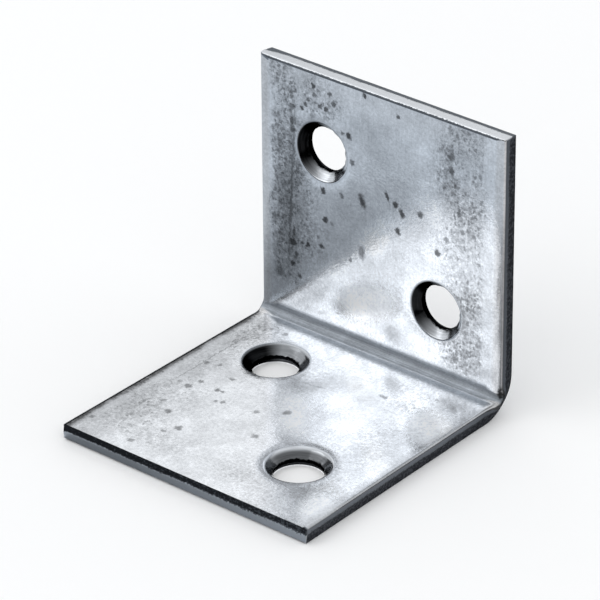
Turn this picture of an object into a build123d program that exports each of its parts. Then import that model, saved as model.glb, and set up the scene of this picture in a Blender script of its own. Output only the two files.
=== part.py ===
from build123d import *
import os
from math import radians, sqrt, tan

# One strip of sheet steel, sheared, punched with four holes and folded once along X.
# Millimetres, +Z up. The origin is under the middle of the bracket, on the surface that it stands on.
# The lying leg runs from the heel towards -Y, and the standing leg rises from the heel.

# Strip and fold
width = 40.0
lying_leg = 41.5
standing_leg = 40.0
sheet = 2.2
inside_bend_radius = 1.0

# Sheared edges: a rolled arris and a smooth land, as shares of the sheet, then a broken face that leans inwards.
# The lying leg's end was cut from below and the standing leg's end from its inner face, as one shear leaves them.
side_roll_share = 0.14
end_roll_share = 0.1
side_land_share = 0.41
lying_land_share = 0.55
standing_land_share = 0.7
break_angle = 5.0

# Steel squeezed out of the side edges at the two ends of the fold, fading over a share of the sheet
upset_height = 0.35
upset_share = 0.85

# Holes, each placed from its nearer side edge and from the heel or the leg's free end
hole_from_side = 10.5
near_hole_from_heel = 11.9
far_hole_from_end = 11.3

# A hole's wall: rolled mouth, tapered entry, round land and torn rim, with depths as shares of the sheet
bore_radius = 3.05
entry_taper = 1.0
mouth_roll_share = 0.18
entry_share = 0.56
rim_share = 0.25
rim_flare = 0.55

# Places that follow from the sizes
heel = lying_leg / 2
outside_bend_radius = inside_bend_radius + sheet
fold_start = heel - outside_bend_radius
fold_axis = Axis((0, fold_start, outside_bend_radius), (1, 0, 0))
side_roll = side_roll_share * sheet
end_roll = end_roll_share * sheet
entry_radius = bore_radius + entry_taper
hole_side_offset = width / 2 - hole_from_side
past_the_steel = sheet
same_size = 0.001


def corner(outline, across, up):
    """The vertex of a flat outline that lies nearest to a point."""
    return outline.vertices().sort_by_distance((across, up, 0))[0]


def break_lean(land_depth):
    """How far a broken face falls back over the rest of the sheet, below a land of that depth."""
    return (sheet - land_depth) * tan(radians(break_angle))


def side_outline():
    """The folded bracket seen from its side, across Y and up Z, with both sheared ends."""
    free_end = -heel
    inner_face = heel - sheet
    lying_land = lying_land_share * sheet
    standing_land = standing_land_share * sheet
    outline = make_face(Polyline(
        (heel, 0),
        (free_end, 0),
        (free_end, lying_land),
        (free_end + break_lean(lying_land), sheet),
        (inner_face, sheet),
        (inner_face, standing_leg),
        (inner_face + standing_land, standing_leg),
        (heel, standing_leg - break_lean(standing_land)),
        close=True,
    ))
    outline = fillet(corner(outline, heel, 0), outside_bend_radius)
    outline = fillet(corner(outline, inner_face, sheet), inside_bend_radius)
    outline = fillet(corner(outline, free_end, 0), end_roll)
    return fillet(corner(outline, inner_face, standing_leg), end_roll)


def side_waste_section():
    """What shearing takes away beside the strip, over X and up Z: the far side of the +X edge."""
    side = width / 2
    land_depth = side_land_share * sheet
    lean = break_lean(land_depth)
    above = sheet + inside_bend_radius / 2
    roll_start = (side - side_roll, sheet)
    roll_end = (side, sheet - side_roll)
    straights = Polyline(
        roll_end,
        (side, sheet - land_depth),
        (side - lean, 0),
        (side - lean, -past_the_steel),
        (side + past_the_steel, -past_the_steel),
        (side + past_the_steel, above),
        (side - side_roll, above),
        roll_start,
    )
    return make_face(straights + TangentArc(roll_start, roll_end, tangent=(1, 0)))


def upset_dome():
    """The sphere whose cap stands proud of the +X edge, highest at the inner arris of the fold."""
    reach = upset_share * sheet
    dome_radius = (reach**2 + upset_height**2) / (2 * upset_height)
    across_fold = inside_bend_radius / sqrt(2)
    return Pos(
        width / 2 + upset_height - dome_radius,
        fold_start + across_fold,
        outside_bend_radius - across_fold,
    ) * Sphere(dome_radius)


def side_waste():
    """What lies beside the folded strip on its +X side, along both legs and round the fold."""
    start = Plane(origin=(0, fold_start, 0), x_dir=(1, 0, 0), z_dir=(0, -1, 0)) * side_waste_section()
    end = start.rotate(fold_axis, 90)
    lying = extrude(start, lying_leg, dir=(0, -1, 0))
    fold = revolve(start, fold_axis, 90)
    standing = extrude(end, standing_leg, dir=(0, 0, 1))
    return lying + fold + standing - upset_dome()


def punched_hole():
    """The space that one hole leaves, round Z, with its mouth at the origin and its torn rim below."""
    rim_radius = bore_radius + rim_flare
    outline = make_face(Polyline(
        (0, past_the_steel),
        (entry_radius, past_the_steel),
        (entry_radius, 0),
        (bore_radius, -entry_share * sheet),
        (bore_radius, (rim_share - 1) * sheet),
        (rim_radius, -sheet),
        (rim_radius, -sheet - past_the_steel),
        (0, -sheet - past_the_steel),
        close=True,
    ))
    return revolve(Plane.XZ * outline, Axis.Z)


def hole_mouths():
    """The plane of each hole's mouth: each leg has one near the heel and one near its end, on opposite sides."""
    left, right = -hole_side_offset, hole_side_offset
    lying = [(left, heel - near_hole_from_heel), (right, far_hole_from_end - heel)]
    standing = [(left, standing_leg - far_hole_from_end), (right, near_hole_from_heel)]
    return [
        *(Plane(origin=(x, y, sheet), z_dir=(0, 0, 1)) for x, y in lying),
        *(Plane(origin=(x, heel - sheet, z), z_dir=(0, -1, 0)) for x, z in standing),
    ]


def angle_bracket():
    """The whole bracket as one solid."""
    waste = side_waste()
    body = extrude(Plane.YZ * side_outline(), width / 2 + upset_height * 2, both=True)
    body = body - waste - mirror(waste, Plane.YZ)
    for mouth in hole_mouths():
        body -= mouth * punched_hole()
    rims = body.edges().filter_by(GeomType.CIRCLE)
    rims = [rim for rim in rims if abs(rim.radius - entry_radius) < same_size]
    return fillet(rims, mouth_roll_share * sheet)


os.makedirs("parts", exist_ok=True)
bracket = angle_bracket()
export_step(bracket, "parts/angle_bracket.step")
print("volume", round(bracket.volume, 2), "solids", len(bracket.solids()), "size", bracket.bounding_box().size)
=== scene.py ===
"""A zinc-coated angle bracket: one strip of sheet steel, sheared, punched with four holes and folded once.

The strip is meshed in the flat, with its sheared edges and punched holes, and a Geometry Nodes tree folds
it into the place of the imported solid. Lengths are in millimetres until a mesh is made, which is in metres.
"""

from __future__ import annotations

import logging
import math
from collections.abc import Callable
from dataclasses import dataclass, field
from enum import Enum
from functools import partial

import bpy
import numpy as np
from mathutils import Matrix, Vector

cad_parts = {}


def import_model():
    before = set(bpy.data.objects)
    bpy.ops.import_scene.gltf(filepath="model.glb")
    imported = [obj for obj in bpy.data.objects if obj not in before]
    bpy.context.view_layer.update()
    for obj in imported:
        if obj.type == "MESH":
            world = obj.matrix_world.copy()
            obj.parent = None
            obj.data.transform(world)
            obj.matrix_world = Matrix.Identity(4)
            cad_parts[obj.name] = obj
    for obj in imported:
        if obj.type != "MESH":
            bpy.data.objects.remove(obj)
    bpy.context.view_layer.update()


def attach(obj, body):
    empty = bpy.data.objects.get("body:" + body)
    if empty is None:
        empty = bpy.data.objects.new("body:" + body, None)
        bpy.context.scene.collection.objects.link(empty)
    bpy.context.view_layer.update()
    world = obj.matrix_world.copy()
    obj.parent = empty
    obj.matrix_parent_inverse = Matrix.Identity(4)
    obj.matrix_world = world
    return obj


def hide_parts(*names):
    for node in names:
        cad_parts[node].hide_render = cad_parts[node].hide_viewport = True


LOG = logging.getLogger("bracket")
MM = 0.001
NODE = "angle_bracket"
# The setting that is the main choice of each of these kinds of node. Of a Mix node's numbered inputs, 0 is
# the share, 2 and 3 are the numbers it mixes, and 6 and 7 the colours.
CHOICES = {
    "Math": "operation",
    "VectorMath": "operation",
    "MapRange": "interpolation_type",
    "Mix": "data_type",
}
# Short names for the types in the hints
Array = np.ndarray
Piece = bpy.types.Object
Material = bpy.types.Material
Node = bpy.types.Node
Socket = bpy.types.NodeSocket
Sockets = bpy.types.bpy_prop_collection
Adder = Callable[..., Node]


class Zone(Enum):
    """The kinds of surface on the strip, as the number that each of its faces carries."""

    FACE = 0
    EDGE = 1
    HOLE = 2


class Leg(Enum):
    """The two legs of the bracket."""

    LYING = "lying"
    STANDING = "standing"


def linear(hex_colour: str) -> tuple[float, float, float, float]:
    """Turns an sRGB hex colour to Blender's linear one.

    Args:
        hex_colour: Six hex digits.

    Returns:
        Red, green, blue and an alpha of 1.
    """
    parts = [int(hex_colour[i : i + 2], 16) / 255 for i in (0, 2, 4)]
    red, green, blue = (c / 12.92 if c <= 0.04045 else ((c + 0.055) / 1.055) ** 2.4 for c in parts)
    return red, green, blue, 1.0


def add_node(tree: bpy.types.NodeTree, kind: str, feeds: dict | tuple = (), **settings: object) -> Node:
    """Adds a node to a tree, with its settings and links.

    Args:
        tree: The tree.
        kind: Blender's name of the node's type, with ShaderNode left out at its start. Its main choice, such
            as its operation, can follow after a dot.
        feeds: What the inputs get, in their order or by name or number. Each is a socket, a value, or a node,
            which gives its first output.
        **settings: The node's own properties.

    Returns:
        The new node.
    """
    kind, _, choice = kind.partition(".")
    if choice:
        settings[CHOICES[kind]] = choice
    node = tree.nodes.new(kind if "Node" in kind else f"ShaderNode{kind}")
    for name, value in settings.items():
        setattr(node, name, value)
    for name, value in feeds.items() if isinstance(feeds, dict) else enumerate(feeds):
        if isinstance(name, str):
            socket = next(s for s in node.inputs if s.name == name and s.enabled)
        else:
            socket = node.inputs[name]
        if isinstance(value, Node):
            value = next(s for s in value.outputs if s.enabled)
        if isinstance(value, Socket):
            tree.links.new(value, socket)
        else:
            socket.default_value = value
    return node


def new_material(name: str) -> tuple[Material, Adder]:
    """Makes an empty material with nodes.

    Args:
        name: The material's name.

    Returns:
        The material, and the function that adds a node to it.
    """
    material = bpy.data.materials.new(name)
    material.use_nodes = True
    material.node_tree.nodes.clear()
    return material, partial(add_node, material.node_tree)


def per_metre(millimetres: float) -> float:
    """The scale of a texture whose features are this many millimetres wide."""
    return 1 / (millimetres * MM)


def lattice_noise(points: Array, seed: int) -> Array:
    """Smooth random values over space, one lattice step to the unit.

    Args:
        points: Places, one per row, already divided by the size of the features.
        seed: Which random values to take.

    Returns:
        A value from 0 to 1 for each place.
    """
    cell = np.floor(points).astype(np.int64)
    part = points - cell
    part = part * part * (3 - 2 * part)
    total = np.zeros(len(points))
    for corner in np.ndindex(*(2,) * points.shape[1]):
        key = np.full(len(points), seed * 1013904223, dtype=np.int64)
        weight = np.ones(len(points))
        for axis, step in enumerate(corner):
            key = (key ^ (cell[:, axis] + step)) * (2654435761 + 2 * axis)
            key ^= (key >> 15) & 0xFFFFFFFF
            weight *= part[:, axis] if step else 1 - part[:, axis]
        total += weight * ((key & 0xFFFFFF) / 0xFFFFFF)
    return total


def quarter_roll(height: Array, wide: float | Array, deep: float | Array) -> Array:
    """How far a rolled arris lies behind its edge.

    Args:
        height: Heights up from where the roll starts on the wall; from 0 to deep on the roll.
        wide: How far the roll reaches into the face.
        deep: How far it reaches down the wall.

    Returns:
        The inset from the edge at each height.
    """
    return wide * (1 - np.sqrt(1 - np.clip(height / deep, 0, 1) ** 2))


def soft_step(value: Array) -> Array:
    """A smooth rise from 0 at 0 to 1 at 1."""
    value = np.clip(value, 0, 1)
    return value * value * (3 - 2 * value)


@dataclass(frozen=True)
class Hole:
    """A punched hole, by the place in the flat strip that it was meant for.

    Each lot of painted shade on its cone, standing for the dark that the cone reflects and the shade inside
    the hole, has its bearing, its spread and its amount, and it is full a little way down. The cone is rubbed
    clean toward one bearing.
    """

    x: float
    y: float
    astray: float
    mouth: float
    roll: float
    lip: float
    painted_shade: tuple[tuple[float, float, float], ...]
    painted_shade_depth: float
    clean: float
    seed: int
    widening: float = 0.25

    @property
    def exit(self) -> float:
        """The radius at the outer face."""
        return self.lip + self.widening

    def ring(self, around: Array, reach: Array | float) -> Array:
        """Places points on the hole's own circle.

        Args:
            around: Points round the hole's place, whose directions the ring's points take.
            reach: The radius, one for all or one for each.

        Returns:
            The ring's points, from the hole's place.
        """
        bearing = np.arctan2(around[:, 1], around[:, 0] - self.astray)
        turn = np.stack([np.cos(bearing), np.sin(bearing)], axis=1)
        return turn * np.reshape(reach, (-1, 1)) + [self.astray, 0]

    def painted_shade_around(self, turn: Array) -> Array:
        """How much painted shade lies on the cone in each direction."""
        return np.max([self.toward(turn, *lot) for lot in self.painted_shade], axis=0)

    def toward(self, turn: Array, bearing: float, spread: float, amount: float) -> Array:
        """A weight for each direction, full toward a bearing and gone at 1.5 times the spread from it."""
        off = np.abs((np.degrees(np.arctan2(turn[:, 1], turn[:, 0])) - bearing + 180) % 360 - 180)
        return amount * soft_step(1.5 - off / spread)


@dataclass(frozen=True)
class Patch:
    """An oval place in the flat strip, its turn in degrees, and how much of something is there."""

    x: float
    y: float
    wide: float
    long: float
    amount: float
    turn: float = 0.0
    soft: float = 1.0

    def weight(self, x: Array, y: Array) -> Array:
        """How much is there at each place, fading out to the oval's rim.

        Args:
            x: Places across the strip.
            y: Places along it.

        Returns:
            The amounts.
        """
        cosine, sine = math.cos(math.radians(self.turn)), math.sin(math.radians(self.turn))
        across = ((x - self.x) * cosine + (y - self.y) * sine) / self.wide
        along = ((y - self.y) * cosine - (x - self.x) * sine) / self.long
        return self.amount * soft_step((1.5 - np.hypot(across, along) * 2) / self.soft)


# Chosen up to the fold and past it: where stains crowd; where the skin is blurred, and painted brighter
# as painted light where the holes' mirror images fall; where it is brighter or darker than elsewhere; and
# where single stains lie, with one painted shade among them beside the bulge at the fold's right end
CROWDED = tuple(Patch(*mark) for mark in (
    (-10.7, 53.6, 8, 6, 1.0), (-13.0, 40, 5.5, 12, 0.9), (-12.5, 33, 6, 8, 0.8),
    (-12.0, 26.0, 7, 4, 0.22), (10.5, 51, 5, 10, 0.4), (13.5, 29, 7, 12, 0.5), (-13.5, -9, 8, 12, 0.42),
    (-10.0, -16, 12, 5, 0.4), (13.0, -13, 9, 10, 0.18), (6.0, -15, 8, 6, 0.3), (14.5, 2, 7, 14, 0.12),
    (10.0, 12, 8, 8, 0.3), (-4.5, 9, 7, 8, 0.3), (-15.0, 12, 6, 8, 0.35),
))
DULLED_AND_PAINTED_LIGHT = tuple(Patch(*mark) for mark in (
    (-2.4, 27.0, 11.5, 5.5, 0.95, 19, 1.3), (16.3, 7.3, 5, 9, 0.9, 41, 1.2),
    (19.0, -17.0, 5, 10, 0.9, 35, 1.2), (0.8, 0.0, 4.5, 12, 0.9, 45, 1.2),
))
CLOUDS = tuple(Patch(*mark) for mark in (
    (-5.0, 31.5, 4, 14, 0.6, -50, 1.2), (0.0, 37.3, 4, 10, 0.8, -50, 1.2),
    (0.0, 17.2, 56, 1.6, 0.4, 0, 1.2), (2.0, 9.0, 14, 9, -0.4, 0, 1.4),
    (2.0, 23.8, 3.0, 2.5, -1.2, 0, 1.3), (6.0, 25.5, 7, 5, 0.55, 0, 1.4),
    (14.5, 13.5, 4, 4, -0.8, 0, 1.3), (15.5, -3.0, 6, 7, -0.35, 0, 1.3),
    (18.5, 30.0, 3, 22, -0.35, 0, 1.3), (-1.0, 50.5, 12, 7, -0.5, 0, 1.4),
    (8.0, 46.0, 5, 6, 0.45, 0, 1.3), (13.0, 1.0, 6, 12, -0.35, 0, 1.3), (6.0, 3.0, 4, 5, -0.3, 0, 1.3),
    (16.3, 7.5, 5, 9, 0.2, 41, 1.2), (-14.8, 37.5, 5, 22, -1.0, -2, 1.1),
    (-17.6, 26.0, 4, 12, -0.7, 0, 1.2), (-0.5, 8.0, 7, 8, -0.4, 0, 1.4), (9.6, 40.0, 5, 9, 0.9, 0, 1.3),
    (10.5, 24.5, 4, 4, 0.6, 0, 1.3), (15.2, 35.5, 6, 20, -0.45, 0, 1.3), (-1.5, 6.3, 3, 4, -0.6, 0, 1.3),
    (-12.5, 2.0, 9, 8, -0.45, 0, 1.4), (17.5, -1.0, 4, 12, -0.35, 0, 1.4),
))
SPOTS = tuple(Patch(*mark) for mark in (
    (-2.9, 41.5, 1, 2.1, 1, 25), (1.2, 43.5, 0.6, 1.5, 0.99, 20), (2.6, 42.8, 1, 0.8, 0.99),
    (3.6, 41.8, 0.8, 1.4, 0.99, 15), (3.0, 39.1, 0.8, 1.2, 0.99), (-5.1, 50.2, 0.8, 1.2, 0.99, 15),
    (-6.2, 50.3, 0.6, 0.7, 0.77), (-4.6, 46.5, 0.8, 1.1, 0.77), (-9.5, 40.9, 0.8, 1.1, 0.99, 25),
    (-6.3, 41.1, 0.7, 0.8, 0.77), (-11.0, 55.5, 0.6, 1.2, 0.99, 15), (-8.3, 55.2, 0.8, 0.7, 0.88),
    (-7.6, 53.9, 0.7, 0.8, 0.88), (-2.5, 56.8, 0.8, 0.6, 0.99), (2.9, 55.5, 0.7, 0.7, 0.88),
    (-9.1, 36.7, 0.8, 1, 0.99), (-3.0, 34.0, 1.2, 2.2, 0.75), (-9.8, 32.6, 0.7, 1, 0.99, 20),
    (-14.6, 31.5, 1.4, 1.4, 0.99), (-14.6, 28.4, 0.7, 1, 0.99), (11.3, 52.4, 0.8, 1.2, 0.88, 20),
    (11.6, 50.5, 0.8, 1.4, 0.88), (6.6, 42.7, 0.8, 1.1, 0.88), (9.4, 38.1, 1, 1, 0.88),
    (-8.1, -12.3, 1.1, 1.1, 0.66), (-11.8, -9.9, 1.1, 1, 0.66), (-9.1, -14.1, 0.8, 0.8, 0.55),
    (-14.1, -3.4, 1.1, 1, 0.66), (0.3, -0.7, 1.2, 1, 0.66), (-2.9, -3.0, 0.9, 0.9, 0.55),
    (0.8, -7.7, 0.9, 0.9, 0.55), (-12.9, 14.6, 0.9, 0.7, 0.6), (7.3, 10.2, 1.5, 0.7, 0.66),
    (-8.9, 52.8, 0.7, 0.8, 0.94), (-9.9, 53.0, 0.8, 0.8, 0.88), (-10.7, 54.3, 0.8, 0.7, 0.77),
    (-11.9, 53.3, 0.7, 0.8, 0.83), (-12.4, 52.5, 0.8, 0.8, 0.88), (-12.9, 51.8, 0.8, 0.8, 0.99),
    (-14.3, 51.6, 0.8, 0.8, 0.88), (-10.7, 53.3, 0.7, 0.8, 0.66), (-14.6, 49.4, 0.7, 1.5, 0.88),
    (-14.5, 48.2, 0.8, 1.1, 0.88), (-14.1, 53.9, 0.7, 0.8, 0.77), (-14.7, 53.0, 0.6, 1.1, 0.77),
    (11.7, 52.8, 0.8, 1.4, 0.77), (10.5, 47.9, 0.7, 0.8, 0.77), (12.2, 48.7, 0.8, 0.8, 0.88),
    (12.8, 45.1, 0.6, 1.7, 0.77), (12.2, 44.2, 0.6, 0.6, 0.66), (10.9, 40.5, 0.8, 1.1, 0.66),
    (10.5, 50.2, 0.6, 0.6, 0.55), (13.4, 42.4, 0.7, 0.8, 0.55), (-13.1, 31.9, 0.8, 0.8, 0.88),
    (-12.1, 32.0, 0.8, 0.8, 0.99), (-14.0, 29.9, 0.7, 1.1, 0.88), (-14.4, 33.1, 0.6, 1.8, 0.88),
    (-13.5, 26.8, 0.8, 0.8, 0.88), (-16.9, 26.5, 1.5, 1.5, 0.66), (-8.0, 36.5, 0.6, 0.6, 0.55),
    (-5.0, 32.2, 0.4, 0.7, 0.66), (-14.4, 3.2, 0.9, 0.8, 0.55), (-16.1, 2.6, 1, 0.7, 0.55),
    (-10.4, -1.9, 0.8, 0.7, 0.66), (-9.6, -1.8, 0.7, 0.6, 0.61), (-10.8, 1.4, 0.9, 0.6, 0.55),
    (-13.5, -1.6, 1, 0.6, 0.55), (-15.7, -3.2, 0.9, 0.7, 0.5), (-8.8, -4.2, 0.7, 0.6, 0.55),
    (-14.2, -8.2, 1, 0.7, 0.5), (-7.9, -3.8, 0.8, 0.6, 0.55), (-18.6, -17.0, 0.9, 0.7, 0.55),
    # (19.8, 21.1) is painted shade beside the bulge at the fold's right end
    (-10.8, -18.3, 0.9, 0.8, 0.55), (19.8, 21.1, 0.8, 2.4, 1.0), (-14.8, 39.0, 0.5, 26.0, 0.7, -3),
    (-16.6, 5.0, 0.25, 24.0, 0.4), (-1.7, 6.8, 0.2, 5.5, 0.4, -80),
))


@dataclass
class Strip:
    """The strip in the flat, over X and Y, with its outer face at height 0.

    Up to the fold its places are those of the folded bracket's lying leg.
    """

    width: float = 40.0
    lying_leg: float = 41.495
    standing_leg: float = 40.0
    sheet: float = 2.2
    inside_radius: float = 1.15
    outside_radius: float = 4.6
    fold_start: float = 16.95
    fold_length: float = 4.5
    fold_ease: float = 4.0
    flat_rise: float = 17.65
    hole_from_side: float = 10.5
    near_hole_from_heel: float = 11.9
    far_hole_from_end: float = 11.3
    stand_start: float = 15.0
    stand_reach: float = 6.0
    step: float = 0.35
    ring_gap: float = 0.13
    # Sheared edges
    side_roll_wide: float = 1.5
    side_roll_deep: float = 0.31
    lying_roll_share: float = 0.4
    left_roll_share: float = 0.5
    end_roll_wide: float = 0.45
    end_roll_deep: float = 0.22
    side_land: float = 0.9
    lying_land: float = 1.21
    standing_land: float = 1.54
    break_slope: float = math.tan(math.radians(5))
    splay: float = 0.25
    tear_depth: float = 0.06
    # Steel squeezed out at the ends of the fold
    upset: float = 0.34
    upset_arris: float = 0.22
    upset_fall: float = 1.75
    drawn_in: float = 0.3
    upset_reach: float = 3.4
    # Punched holes
    patch: float = 6.0
    mouth_sink: float = 0.07
    sink_reach: float = 1.3
    cone_turn: float = math.radians(55)
    cone_depth: float = 1.15
    lip_depth: float = 1.55
    lip_back: float = 0.06
    lip_swell: float = 0.05

    @property
    def ends(self) -> tuple[float, float]:
        """The lying and the standing end, along Y."""
        return -self.lying_leg / 2, self.flat_rise + self.standing_leg

    @property
    def holes(self) -> list[Hole]:
        """The four holes, from the lying end to the standing end."""
        out = self.width / 2 - self.hole_from_side
        low, high = self.ends
        places = (
            (out, low + self.far_hole_from_end),
            (-out, self.lying_leg / 2 - self.near_hole_from_heel),
            (out, self.flat_rise + self.near_hole_from_heel),
            (-out, high - self.far_hole_from_end),
        )
        # Each one's shift along X, its mouth, roll and lip, its lots of painted shade and how far down they
        # are full, the bearing that is rubbed clean, and its seed
        walls = (
            (-0.05, 4.6, 0.7, 3.2, ((130, 80, 0.85), (205, 40, 0.2)), 0.5, -90, 11),
            (-0.15, 4.75, 0.75, 3.05, ((195, 84, 1.0), (125, 60, 0.6), (60, 50, 0.5)), 0.2, -90, 12),
            (-0.3, 4.3, 0.45, 3.05, ((172, 84, 0.98),), 0.12, 30, 13),
            (-0.2, 4.45, 0.5, 3.05, ((170, 84, 1.0),), 0.12, 30, 14),
        )
        return [Hole(*place, *wall) for place, wall in zip(places, walls)]

    def standing(self, y: Array) -> Array:
        """A share that rises over the fold, from 0 on the lying leg to 1 on the standing one."""
        return soft_step((y - self.stand_start) / self.stand_reach)

    def at_fold(self, y: Array) -> Array:
        """A share that is 1 at the fold's middle and 0 where the squeezed-out steel ends."""
        return soft_step(1 - np.abs(y - self.fold_start - self.fold_length / 2) / self.upset_reach)

    def heights(self) -> Array:
        """Spaces the edge's rings.

        Returns:
            Their heights, from the inner face down to the outer one.
        """
        quarter = np.radians(np.arange(90, -1, -15))
        top = self.sheet - self.side_roll_deep * (1 - np.sin(quarter))
        bottom = self.end_roll_deep * (1 - np.sin(quarter[::-1]))
        stops = [top[-1], self.sheet - self.side_land, self.sheet - self.standing_land, bottom[0]]
        pairs = zip(stops, stops[1:])
        middle = [np.linspace(a, b, max(2, round((a - b) / self.ring_gap)) + 1)[1:] for a, b in pairs]
        return np.concatenate([top, *middle, bottom[1:]])

    def side_roll(self, x: Array, y: Array) -> tuple[Array, Array]:
        """How the side edges are rolled: narrower on the lying leg, and shallower at its left.

        Args:
            x: Places across the strip, of which only the side counts.
            y: Places along it.

        Returns:
            How wide and how deep the roll is at each place.
        """
        standing = self.standing(y)
        shares = (self.lying_roll_share, self.left_roll_share)
        wide, deep = (share + (1 - share) * standing for share in shares)
        return self.side_roll_wide * wide, self.side_roll_deep * np.where(x < 0, deep, 1)

    def side_inset(self, height: Array, x: Array, y: Array) -> Array:
        """How far the side edges lie within the strip's width, with the steel squeezed out at the fold.

        Args:
            height: Heights over the outer face.
            x: Places across the strip, of which only the side counts.
            y: Places along it.

        Returns:
            The insets.
        """
        standing = self.standing(y)
        below = np.clip(self.sheet - self.side_land - height, 0, None) * self.break_slope
        below = below * np.where(x < 0, 1 + 0.8 * standing, 1 - 0.95 * standing)
        wide, deep = self.side_roll(x, y)
        plain = quarter_roll(height - (self.sheet - deep), wide, deep) + below
        arris = self.upset_arris
        nose = quarter_roll(height - (self.sheet - arris), arris, arris)
        fall = np.clip((self.sheet - arris - height) / self.upset_fall, 0, 1) ** 2
        bulge = self.upset * np.where(x < 0, 0.3, 1)
        bulged = nose - bulge * (1 - fall) + self.drawn_in * fall + below
        share = self.at_fold(y)
        forward = np.clip((self.fold_start - y) / self.lying_leg, 0, 1)
        wider = self.splay * np.where(x < 0, forward, 1.6 * forward - 1.4 * (1 - standing))
        return plain * (1 - share) + bulged * share - wider

    def end_inset(self, height: Array, leg: Leg) -> Array:
        """How far a free end lies within the strip's length.

        Args:
            height: Heights over the outer face.
            leg: Which leg's end; the lying one was sheared from below and the standing one from inside.

        Returns:
            The insets.
        """
        up = height if leg is Leg.LYING else self.sheet - height
        land = self.lying_land if leg is Leg.LYING else self.standing_land
        roll = quarter_roll(self.end_roll_deep - up, self.end_roll_wide, self.end_roll_deep)
        return roll + np.clip(up - land, 0, None) * self.break_slope

    def breaks(self) -> tuple[list[float], list[float]]:
        """Divides the mesh for its holes, its side rolls and its fold.

        Returns:
            Where its runs of lines start and stop, over X and along Y.
        """
        out = self.width / 2 - self.hole_from_side
        side = self.width / 2 - self.side_roll_wide
        low, high = self.ends
        ys = [low, self.fold_start, self.fold_start + self.fold_length, high]
        for hole in self.holes:
            ys += [hole.y - self.patch, hole.y + self.patch]
        near, far = out - self.patch, out + self.patch
        return [-side, -far, -near, near, far, side], sorted(ys)

    def lines(self) -> tuple[Array, Array]:
        """Spaces the mesh's lines evenly in each run.

        Returns:
            The lines across X and along Y.
        """
        made = []
        for stops in self.breaks():
            pairs = zip(stops, stops[1:])
            runs = [np.linspace(a, b, max(1, round((b - a) / self.step)) + 1)[1:] for a, b in pairs]
            made.append(np.concatenate([[stops[0]], *runs]))
        return made[0], made[1]

    def fit(self, x: Array, y: Array, height: float) -> tuple[Array, Array]:
        """Draws the lines' outer runs in to the edges' places at a height.

        Args:
            x: Places across the strip, on the mesh's lines.
            y: Places along the strip, on the mesh's lines.
            height: The height.

        Returns:
            The places with the outer runs drawn in.
        """
        xs, ys = self.breaks()
        low_in, high_in = (float(self.end_inset(np.array(height), leg)) for leg in Leg)
        run = ys[1] - ys[0]
        drawn = np.where(y < ys[1], ys[1] - (ys[1] - y) * (run - low_in) / run, y)
        run = ys[-1] - ys[-2]
        drawn = np.where(y > ys[-2], ys[-2] + (y - ys[-2]) * (run - high_in) / run, drawn)
        run = xs[-1] - xs[-2]
        reach = self.width / 2 - self.side_inset(np.full_like(y, height), x, y) - xs[-2]
        wide = np.abs(x)
        return np.where(wide > xs[-2], np.sign(x) * (xs[-2] + (wide - xs[-2]) * reach / run), x), drawn


def round_once(xs: Array, ys: Array) -> Array:
    """Walks once round the rectangle that lines span.

    Args:
        xs: The lines across X.
        ys: The lines along Y.

    Returns:
        The points where lines end, each once, from the lowest corner along X first.
    """
    sides = (
        (xs, np.full_like(xs, ys[0])),
        (np.full_like(ys, xs[-1]), ys),
        (xs[::-1], np.full_like(xs, ys[-1])),
        (np.full_like(ys, xs[0]), ys[::-1]),
    )
    return np.concatenate([np.stack(side, 1)[:-1] for side in sides])


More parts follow.
